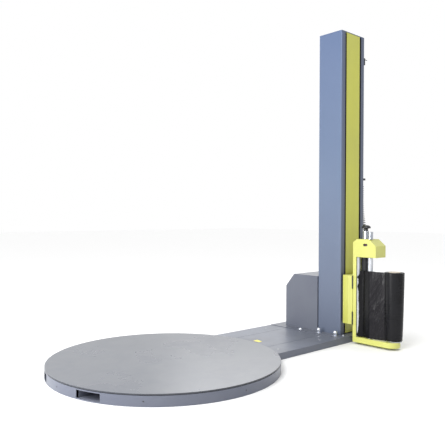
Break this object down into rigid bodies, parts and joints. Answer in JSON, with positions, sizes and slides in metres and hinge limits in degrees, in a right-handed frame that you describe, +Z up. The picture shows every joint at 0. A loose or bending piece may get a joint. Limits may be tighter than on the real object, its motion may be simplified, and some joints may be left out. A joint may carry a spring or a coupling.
{
  "type": "turntable pallet wrapper",
  "caption": "Turntable pallet wrapper: low powered turntable, neck with mast and control cabinet, and a hinged film carriage with its roll of stretch film that climbs the mast.",
  "frame": {"origin": "on the turntable's axis at floor level", "axes": "+X from the turntable to the mast, +Y to the control cabinet's side, +Z up"},
  "size_m": [2.654, 1.5389, 2.458],
  "materials": {
    "frame_paint": "gloss blue-grey powder coat",
    "lime_paint": "gloss lime yellow powder coat",
    "zinc_steel": "bright zinc plated",
    "ground_steel": "ground",
    "motor_paint": "semi-gloss",
    "belt_rubber": "matt",
    "cable_rubber": "satin",
    "black_steel": "satin black",
    "black_plastic": "fine grained",
    "nylon": "natural nylon",
    "roller_aluminium": "satin anodised",
    "roller_chrome": "polished",
    "roller_rubber": "ground rubber sleeve",
    "film_plastic": "black stretch film",
    "core_card": "wound cardboard",
    "red_plastic": "moulded",
    "green_plastic": "moulded"
  },
  "bodies": {
    "root": {"base_plate": "frame_paint", "base_ring": "frame_paint", "fork_tunnels": "frame_paint", "neck_frame": "frame_paint", "neck_covers": "frame_paint", "cover_screws": "zinc_steel", "centre_post": "zinc_steel", "centre_bearing": "ground_steel", "roller_brackets": "zinc_steel", "drive_motor": "motor_paint", "drive_belt": "belt_rubber", "mast_foot": "frame_paint", "foot_bolts": "zinc_steel", "mast_shell": "frame_paint", "mast_cap": "frame_paint", "mast_strip": "lime_paint", "guide_rails": "zinc_steel", "lift_motor": "motor_paint", "lift_belt": "belt_rubber", "pulley_bracket": "zinc_steel", "cabinet_shell": "frame_paint", "cabinet_door": "frame_paint", "mains_gland": "black_plastic", "control_box": "frame_paint", "cable_brackets": "black_plastic"},
    "turntable": {"turntable_plate": "frame_paint", "table_pulley": "zinc_steel"},
    "motor_pulley": {"motor_pulley": "zinc_steel"},
    "support_roller_1": {"support_roller_1": "nylon"},
    "support_roller_2": {"support_roller_2": "nylon"},
    "support_roller_3": {"support_roller_3": "nylon"},
    "support_roller_4": {"support_roller_4": "nylon"},
    "support_roller_5": {"support_roller_5": "nylon"},
    "support_roller_6": {"support_roller_6": "nylon"},
    "trolley": {"trolley_bracket": "lime_paint", "trolley_frame": "black_steel", "guide_shoes": "nylon", "hinge_fixed_leaves": "black_steel", "spiral_cable": "cable_rubber"},
    "top_pulley": {"top_pulley": "zinc_steel"},
    "bottom_pulley": {"bottom_pulley": "zinc_steel"},
    "carriage": {"carriage_back": "lime_paint", "carriage_head": "lime_paint", "carriage_platform": "lime_paint", "hinge_swing_leaves": "black_steel", "photocell": "black_plastic", "roller_axles": "zinc_steel", "brake_housing": "roller_chrome", "film_web": "film_plastic"},
    "entry_roller": {"entry_roller": "roller_aluminium"},
    "brake_roller": {"brake_roller": "roller_rubber"},
    "exit_roller": {"exit_roller": "roller_chrome"},
    "spindle": {"spindle": "zinc_steel"},
    "film": {"film_core": "core_card", "film_roll": "film_plastic"},
    "tension_knob": {"tension_knob": "black_plastic"},
    "main_switch": {"main_switch": "red_plastic"},
    "start_button": {"start_button": "green_plastic"},
    "stop_button": {"stop_button": "black_plastic"},
    "emergency_stop": {"emergency_stop": "red_plastic"}
  },
  "joints": [
    {"name": "turntable_spin", "type": "hinge", "parent": "root", "child": "turntable", "pos_m": [0, 0, 0.062], "axis": [0, 0, 1], "continuous": true},
    {"name": "motor_pulley_spin", "type": "hinge", "parent": "root", "child": "motor_pulley", "pos_m": [1.64, 0.06, 0.03], "axis": [0, 0, 1], "continuous": true},
    {"name": "support_roller_1_spin", "type": "hinge", "parent": "root", "child": "support_roller_1", "pos_m": [0.4879, 0.4879, 0.0417], "axis": [-0.7071, -0.7071, 0], "continuous": true},
    {"name": "support_roller_2_spin", "type": "hinge", "parent": "root", "child": "support_roller_2", "pos_m": [0, 0.69, 0.0417], "axis": [0, -1, 0], "continuous": true},
    {"name": "support_roller_3_spin", "type": "hinge", "parent": "root", "child": "support_roller_3", "pos_m": [-0.4879, 0.4879, 0.0417], "axis": [0.7071, -0.7071, 0], "continuous": true},
    {"name": "support_roller_4_spin", "type": "hinge", "parent": "root", "child": "support_roller_4", "pos_m": [-0.4879, -0.4879, 0.0417], "axis": [0.7071, 0.7071, 0], "continuous": true},
    {"name": "support_roller_5_spin", "type": "hinge", "parent": "root", "child": "support_roller_5", "pos_m": [0, -0.69, 0.0417], "axis": [0, 1, 0], "continuous": true},
    {"name": "support_roller_6_spin", "type": "hinge", "parent": "root", "child": "support_roller_6", "pos_m": [0.4879, -0.4879, 0.0417], "axis": [-0.7071, 0.7071, 0], "continuous": true},
    {"name": "carriage_lift", "type": "slide", "parent": "root", "child": "trolley", "axis": [0, 0, 1], "range_m": [0, 1.45], "deforming": ["spiral_cable"]},
    {"name": "top_pulley_spin", "type": "hinge", "parent": "root", "child": "top_pulley", "pos_m": [1.6495, -0.207, 2.37], "axis": [0, 1, 0], "range_deg": [-10, 2070]},
    {"name": "bottom_pulley_spin", "type": "hinge", "parent": "root", "child": "bottom_pulley", "pos_m": [1.6495, -0.207, 0.128], "axis": [0, 1, 0], "range_deg": [-10, 2070]},
    {"name": "carriage_swing", "type": "hinge", "parent": "trolley", "child": "carriage", "pos_m": [1.495, -0.4045, 0.34], "axis": [0, 0, -1], "range_deg": [0, 90]},
    {"name": "entry_roller_spin", "type": "hinge", "parent": "carriage", "child": "entry_roller", "pos_m": [1.532, -0.43, 0.368], "axis": [0, 0, -1], "continuous": true},
    {"name": "brake_roller_spin", "type": "hinge", "parent": "carriage", "child": "brake_roller", "pos_m": [1.567, -0.478, 0.368], "axis": [0, 0, -1], "continuous": true},
    {"name": "exit_roller_spin", "type": "hinge", "parent": "carriage", "child": "exit_roller", "pos_m": [1.53, -0.542, 0.368], "axis": [0, 0, -1], "continuous": true},
    {"name": "film_spin", "type": "hinge", "parent": "carriage", "child": "spindle", "pos_m": [1.58, -0.716, 0.3], "axis": [0, 0, -1], "continuous": true},
    {"name": "film_lift_off", "type": "slide", "parent": "spindle", "child": "film", "axis": [0, 0, 1], "range_m": [0, 0.09]},
    {"name": "tension_turn", "type": "hinge", "parent": "carriage", "child": "tension_knob", "pos_m": [1.567, -0.478, 0.895], "axis": [0, 0, 1], "range_deg": [-135, 135]},
    {"name": "main_switch_turn", "type": "hinge", "parent": "root", "child": "main_switch", "pos_m": [1.848, 0.178, 0.33], "axis": [1, 0, 0], "range_deg": [0, 90]},
    {"name": "start_press", "type": "slide", "parent": "root", "child": "start_button", "axis": [-1, 0, 0], "range_m": [0, 0.004], "stiffness_N_per_m": 400},
    {"name": "stop_press", "type": "slide", "parent": "root", "child": "stop_button", "axis": [-1, 0, 0], "range_m": [0, 0.004], "stiffness_N_per_m": 400},
    {"name": "emergency_press", "type": "slide", "parent": "root", "child": "emergency_stop", "axis": [-1, 0, 0], "range_m": [0, 0.006], "stiffness_N_per_m": 500}
  ],
  "couplings": [
    {"joint": "motor_pulley_spin", "follows": "turntable_spin", "ratio": 4},
    {"joint": "support_roller_1_spin", "follows": "turntable_spin", "ratio": 34.5},
    {"joint": "support_roller_2_spin", "follows": "turntable_spin", "ratio": 34.5},
    {"joint": "support_roller_3_spin", "follows": "turntable_spin", "ratio": 34.5},
    {"joint": "support_roller_4_spin", "follows": "turntable_spin", "ratio": 34.5},
    {"joint": "support_roller_5_spin", "follows": "turntable_spin", "ratio": 34.5},
    {"joint": "support_roller_6_spin", "follows": "turntable_spin", "ratio": 34.5},
    {"joint": "exit_roller_spin", "follows": "film_spin", "ratio": 3.8421},
    {"joint": "brake_roller_spin", "follows": "film_spin", "ratio": 2.0857},
    {"joint": "top_pulley_spin", "follows": "carriage_lift", "rad_per_m": 24.814},
    {"joint": "bottom_pulley_spin", "follows": "carriage_lift", "rad_per_m": 24.814}
  ]
}
